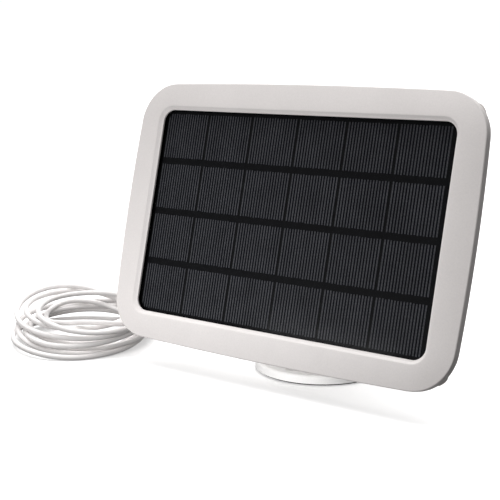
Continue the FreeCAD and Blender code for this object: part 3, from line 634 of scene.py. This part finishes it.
FRAME_RGB = lin(226, 221.5, 220)
mats = {
    "frame": moulded("shell_white", FRAME_RGB, 0.46, 1300.0, 0.03, 40.0, 0.02, 0.014, 0.35),
    "rear": moulded("rear_white", lin(224, 219, 216), 0.5, 900.0, 0.035, 38.0, 0.025, 0.022, 0.35),
    "foot": moulded("foot_white", lin(251, 250, 249), 0.42, 1300.0, 0.02, 40.0, 0.015, 0.012, 0.4),
    "knob": moulded("knob_white", lin(225, 221, 218), 0.48, 1100.0, 0.03, 60.0, 0.02, 0.016, 0.35),
    "cable": moulded("cable_jacket", lin(243, 240, 239), 0.36, 1800.0, 0.012, 25.0, 0.012, 0.006, 0.35, 0.05),
    "boot": moulded("boot_white", lin(240, 238, 236), 0.5, 1600.0, 0.02, 60.0, 0.02, 0.01, 0.35),
    "foam": moulded("foam_dark", (0.016, 0.016, 0.017), 0.9, 2200.0, 0.35, 200.0, 0.15, 0.05, 0.1),
    "gasket": moulded("gasket_black", (0.004, 0.004, 0.0045), 0.85, 2200.0, 0.3, 200.0, 0.15, 0.03, 0.1),
    # near-black of the glass ring: printed edge plus painted shade under the bezel lip
    "border_and_painted_shade": moulded("border_black_and_painted_shade", (0.0022, 0.0022, 0.0028), 0.5, 1500.0, 0.1, 80.0, 0.1, 0.002, 0.1),
    "film": moulded("film_dark", (0.0072, 0.0072, 0.0080), 0.55, 2600.0, 0.22, 300.0, 0.12, 0.004, 0.04),
    "sheet": moulded("sheet_dark", (0.010, 0.010, 0.011), 0.6, 1200.0, 0.12, 90.0, 0.1, 0.01, 0.2),
    "seal": moulded("seal_rubber", (0.05, 0.05, 0.05), 0.7, 1500.0, 0.15, 90.0, 0.1, 0.02, 0.2),
    "nylon": moulded("nylon_washer", lin(228, 224, 214), 0.4, 900.0, 0.03, 60.0, 0.03, 0.01, 0.4),
    "chip": moulded("component_black", (0.018, 0.018, 0.02), 0.5, 1500.0, 0.15, 120.0, 0.08, 0.01, 0.3),
    "wire": moulded("wire_black", (0.02, 0.02, 0.021), 0.5, 1500.0, 0.1, 120.0, 0.06, 0.01, 0.35),
    "steel": metal("steel_turned", (0.60, 0.60, 0.61), 0.30, (1, 1, 1), 1600.0),
    "brass": metal("brass_turned", (0.72, 0.53, 0.26), 0.30, (1, 1, 1), 1600.0),
    "ribbon": metal("ribbon_tinned", (0.62, 0.62, 0.62), 0.35, (1, 0.15, 0.15), 1800.0),
    "plated": metal("plated_shell", (0.80, 0.80, 0.79), 0.20, (1, 1, 1), 1400.0, 0.002),
}


def silicon():
    m = Mat("cell_silicon")
    v = m.n.new("ShaderNodeTexVoronoi")
    v.inputs["Scale"].default_value = 420.0
    m.link(m.co, v.inputs["Vector"])
    s = m.n.new("ShaderNodeSeparateColor")
    m.link(v.outputs["Color"], s.inputs["Color"])
    m.tint((0.0020, 0.0021, 0.0040), m.mul(m.remap(s.outputs["Red"], 0, 1, 0.75, 1.3), m.remap(m.noise(60.0), 0.3, 0.7, 0.85, 1.15)))
    m.b.inputs["Roughness"].default_value = 0.45
    m.link(m.remap(m.noise(2400.0), 0.3, 0.7, 0.36, 0.56), m.b.inputs["Roughness"])
    m.b.inputs["Specular IOR Level"].default_value = 0.03
    return m.m


def finger_print():
    """Screen-printed silver seen through the laminate: grainy, brighter and duller along its length."""
    m = Mat("finger_print")
    grain = m.remap(m.noise(2100.0, 3.0, 0.7), 0.3, 0.7, 0.62, 1.38)
    slow = m.remap(m.noise(85.0, 3.0, 0.6), 0.3, 0.7, 0.86, 1.14)
    w = m.n.new("ShaderNodeTexWave")
    w.wave_type = "BANDS"
    w.bands_direction = "DIAGONAL"
    w.inputs["Scale"].default_value = 330.0
    w.inputs["Distortion"].default_value = 3.0
    w.inputs["Detail"].default_value = 1.0
    m.link(m.co, w.inputs["Vector"])
    wave = m.remap(w.outputs["Fac"], 0, 1, 0.84, 1.16)
    m.tint((0.058, 0.058, 0.064), m.mul(m.mul(grain, slow), wave))
    m.link(m.remap(m.noise(900.0), 0.3, 0.7, 0.5, 0.7), m.b.inputs["Roughness"])
    m.b.inputs["Specular IOR Level"].default_value = 0.1
    return m.m


def board_green():
    m = Mat("board_green")
    f = m.noise(700.0, 4.0, 0.6)
    m.tint((0.018, 0.10, 0.035), m.remap(f, 0.3, 0.7, 0.75, 1.25))
    m.link(m.remap(m.noise(1200.0), 0.3, 0.7, 0.3, 0.45), m.b.inputs["Roughness"])
    m.bump(f, 0.02 * MM, 0.5)
    return m.m


def solar_glass():
    """Anti-reflective cover glass: clear, with a faint gloss that grows at a grazing angle."""
    m = Mat("cover_glass")
    n = m.n
    n.remove(m.b)
    out = n["Material Output"]
    tr = n.new("ShaderNodeBsdfTransparent")
    tr.inputs["Color"].default_value = (0.975, 0.982, 0.985, 1)
    gl = n.new("ShaderNodeBsdfGlossy")
    m.link(m.remap(m.noise(1500.0, 3.0), 0.3, 0.7, 0.10, 0.16), gl.inputs["Roughness"])
    fr = n.new("ShaderNodeFresnel")
    fr.inputs["IOR"].default_value = 1.08
    geo = n.new("ShaderNodeNewGeometry")
    sh = n.new("ShaderNodeMixShader")
    m.link(m.mul(fr.outputs[0], m.remap(geo.outputs["Backfacing"], 0, 1, 1, 0)), sh.inputs[0])
    m.link(tr.outputs[0], sh.inputs[1])
    m.link(gl.outputs[0], sh.inputs[2])
    m.link(sh.outputs[0], out.inputs["Surface"])
    return m.m


cable_bsdf = mats["cable"].node_tree.nodes["Principled BSDF"]
cable_bsdf.inputs["Sheen Weight"].default_value = 0.55
cable_bsdf.inputs["Sheen Roughness"].default_value = 0.28
cable_bsdf.inputs["Sheen Tint"].default_value = (1, 1, 1, 1)
mats["silicon"] = silicon()
mats["finger"] = finger_print()
mats["board"] = board_green()
mats["glass"] = solar_glass()

node_mat = {
    "base_plate": "foot", "base_pad": "foam", "swivel_post": "foot", "stop_pin": "steel", "pivot_washer": "steel", "pivot_screw": "steel",
    "friction_washers": "nylon", "knob_washer": "steel", "tilt_bolt": "steel", "knob_insert": "brass", "tilt_knob": "knob",
    "front_bezel": "frame", "panel_gasket": "gasket", "cover_glass": "glass", "solar_cells": "silicon", "cell_ribbons": "ribbon",
    "encapsulant": "film", "backing_sheet": "sheet", "rear_cover": "rear", "perimeter_seal": "seal", "cover_screws": "steel",
    "regulator_board": "board", "board_components": "chip", "board_screws": "steel", "panel_leads": "wire", "lead_inner_end": "boot",
    "cable_gland": "boot", "tilt_bracket": "rear", "bracket_screws": "steel", "cable_lead": "cable", "cable_coil": "cable",
    "cable_tail": "cable", "plug_relief": "boot", "plug_grip": "boot", "plug_boot": "boot", "plug_shell": "plated", "plug_tongue": "chip"}
for name, ob in nodes.items():
    ob.data.materials.clear()
    ob.data.materials.append(mats[node_mat[name]])


def dress(ob, mat, body, slot, *replaced):
    ob.data.materials.clear()
    ob.data.materials.append(mats[mat])
    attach(ob, body)
    if replaced:
        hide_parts(*replaced)
    return ob


dress(bezel, "frame", "panel", "white_plastic", "front_bezel")
dress(glass, "glass", "panel", "cover_glass", "cover_glass")
# the glass ring: printed edge plus painted shade under the bezel lip
dress(border_and_painted_shade, "border_and_painted_shade", "panel", "dark_film")
dress(fingers, "finger", "panel", "silicon")
dress(cells, "silicon", "panel", "silicon", "solar_cells")
dress(rear, "rear", "panel", "white_plastic", "rear_cover")
dress(post, "foot", "post", "white_plastic", "swivel_post")
dress(knob, "knob", "knob", "white_plastic", "tilt_knob")
dress(grip, "boot", "post", "white_rubber", "plug_grip")
dress(bracket, "rear", "panel", "white_plastic", "tilt_bracket")
dress(foot_body, "foot", "base", "white_plastic", "base_plate")

# ------------------------------------------------------------------ the lead: one fixed tube in place of the CAD lead, coil and tail
cord.data.materials.append(mats["cable"])
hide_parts("cable_lead", "cable_coil", "cable_tail")
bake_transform(cord)

# ------------------------------------------------------------------ studio
floor = new_piece("floor", [(-6, -6, -0.0001), (6, -6, -0.0001), (6, 6, -0.0001), (-6, 6, -0.0001)], [(0, 1, 2, 3)], smooth=False)
fm = Mat("floor_white")
fm.tint((0.93, 0.93, 0.93), fm.remap(fm.noise(3.0), 0.3, 0.7, 0.995, 1.005))
fm.b.inputs["Roughness"].default_value = 0.9
fm.b.inputs["Specular IOR Level"].default_value = 0.1
fm.b.inputs["Emission Color"].default_value = (1, 1, 1, 1)
fm.b.inputs["Emission Strength"].default_value = 0.28
floor.data.materials.append(fm.m)
floor.visible_diffuse = False
floor.visible_glossy = False

world = bpy.data.worlds.new("studio")
scene.world = world
world.use_nodes = True
wt = world.node_tree
wn = wt.nodes
bg = wn["Background"]
co = wn.new("ShaderNodeTexCoord").outputs["Generated"]


def wmath(op, a, b=0.0):
    r = wn.new("ShaderNodeMath")
    r.operation = op
    for s, v in zip(r.inputs, (a, b)):
        if isinstance(v, (int, float)):
            s.default_value = v
        else:
            wt.links.new(v, s)
    return r.outputs[0]


def lobe(direction, lo, hi, gain):
    """Light from round one direction, fading between two cosines."""
    d = wn.new("ShaderNodeVectorMath")
    d.operation = "DOT_PRODUCT"
    wt.links.new(co, d.inputs[0])
    d.inputs[1].default_value = Vector(direction).normalized()
    r = wn.new("ShaderNodeMapRange")
    r.interpolation_type = "SMOOTHSTEP"
    r.inputs["From Min"].default_value = lo
    r.inputs["From Max"].default_value = hi
    r.inputs["To Min"].default_value = 0.0
    r.inputs["To Max"].default_value = gain
    wt.links.new(d.outputs["Value"], r.inputs["Value"])
    return r.outputs["Result"]


total = wmath("ADD", lobe((-0.1, -0.1, 1.0), 0.1, 0.95, 0.80), lobe((-1.0, -0.15, 0.1), 0.0, 0.9, 0.17))
total = wmath("ADD", total, lobe((0.1, -0.8, -0.6), 0.1, 0.9, 0.31))
total = wmath("ADD", total, lobe((-0.2, 1.0, 0.1), 0.0, 0.9, 0.50))
total = wmath("ADD", total, 0.03)
total = wmath("MULTIPLY", total, wmath("SUBTRACT", 1.0, lobe((1.0, 0.1, -0.05), 0.05, 0.8, 0.75)))
total = wmath("MULTIPLY", total, wmath("SUBTRACT", 1.0, lobe((-0.56, -0.79, 0.23), 0.80, 0.95, 0.75)))
wt.links.new(total, bg.inputs["Strength"])
bg.inputs["Color"].default_value = (1.0, 0.99, 0.985, 1)
bg2 = wn.new("ShaderNodeBackground")
bg2.inputs["Color"].default_value = (1, 1, 1, 1)
bg2.inputs["Strength"].default_value = 1.02
mixw = wn.new("ShaderNodeMixShader")
lp = wn.new("ShaderNodeLightPath")
wt.links.new(lp.outputs["Is Camera Ray"], mixw.inputs[0])
wt.links.new(bg.outputs[0], mixw.inputs[1])
wt.links.new(bg2.outputs[0], mixw.inputs[2])
wt.links.new(mixw.outputs[0], wn["World Output"].inputs["Surface"])


def softbox(name, loc, aim, size, power):
    d = bpy.data.lights.new(name, "AREA")
    d.shape = "SQUARE"
    d.size = size
    d.energy = power
    o = bpy.data.objects.new(name, d)
    scene.collection.objects.link(o)
    o.location = loc
    o.rotation_euler = (Vector(aim) - Vector(loc)).to_track_quat("-Z", "Y").to_euler()
    o.visible_camera = False
    return o


low_fill = softbox("low_fill", (-0.09, -0.25, 0.025), (-0.05, -0.03, 0.03), 0.10, 0.355)
no_cord = bpy.data.collections.new("low_fill_receivers")
no_cord.objects.link(cord)
no_cord.collection_objects[0].light_linking.link_state = "EXCLUDE"
low_fill.light_linking.receiver_collection = no_cord
foot_fill = softbox("foot_fill", (0.13, -0.26, 0.05), (0.01, -0.02, 0.0), 0.12, 0.37)
foot_set = bpy.data.collections.new("foot_fill_receivers")
for ob in (foot_body, nodes["base_pad"], floor):
    foot_set.objects.link(ob)
foot_fill.light_linking.receiver_collection = foot_set
coil_fill = softbox("coil_fill", (0.13, -0.35, 0.17), (-0.14, -0.03, 0.01), 0.26, 0.64)
coil_set = bpy.data.collections.new("coil_fill_receivers")
coil_set.objects.link(cord)
coil_fill.light_linking.receiver_collection = coil_set
coil_fill.light_linking.blocker_collection = coil_set
top_fill = softbox("top_fill", (0.07, -0.12, 0.27), (0.07, -0.02, 0.12), 0.06, 0.043)
top_set = bpy.data.collections.new("top_fill_receivers")
top_set.objects.link(bezel)
top_fill.light_linking.receiver_collection = top_set
sun = bpy.data.lights.new("overhead", "SUN")
sun.energy = 2.3
sun.angle = math.radians(55)
so = bpy.data.objects.new("overhead", sun)
scene.collection.objects.link(so)
so.rotation_euler = (math.radians(-6), math.radians(-8), 0)

scene.view_settings.view_transform = "Standard"
scene.view_settings.look = "None"
scene.view_settings.exposure = 0.0
scene.view_settings.gamma = 1.0
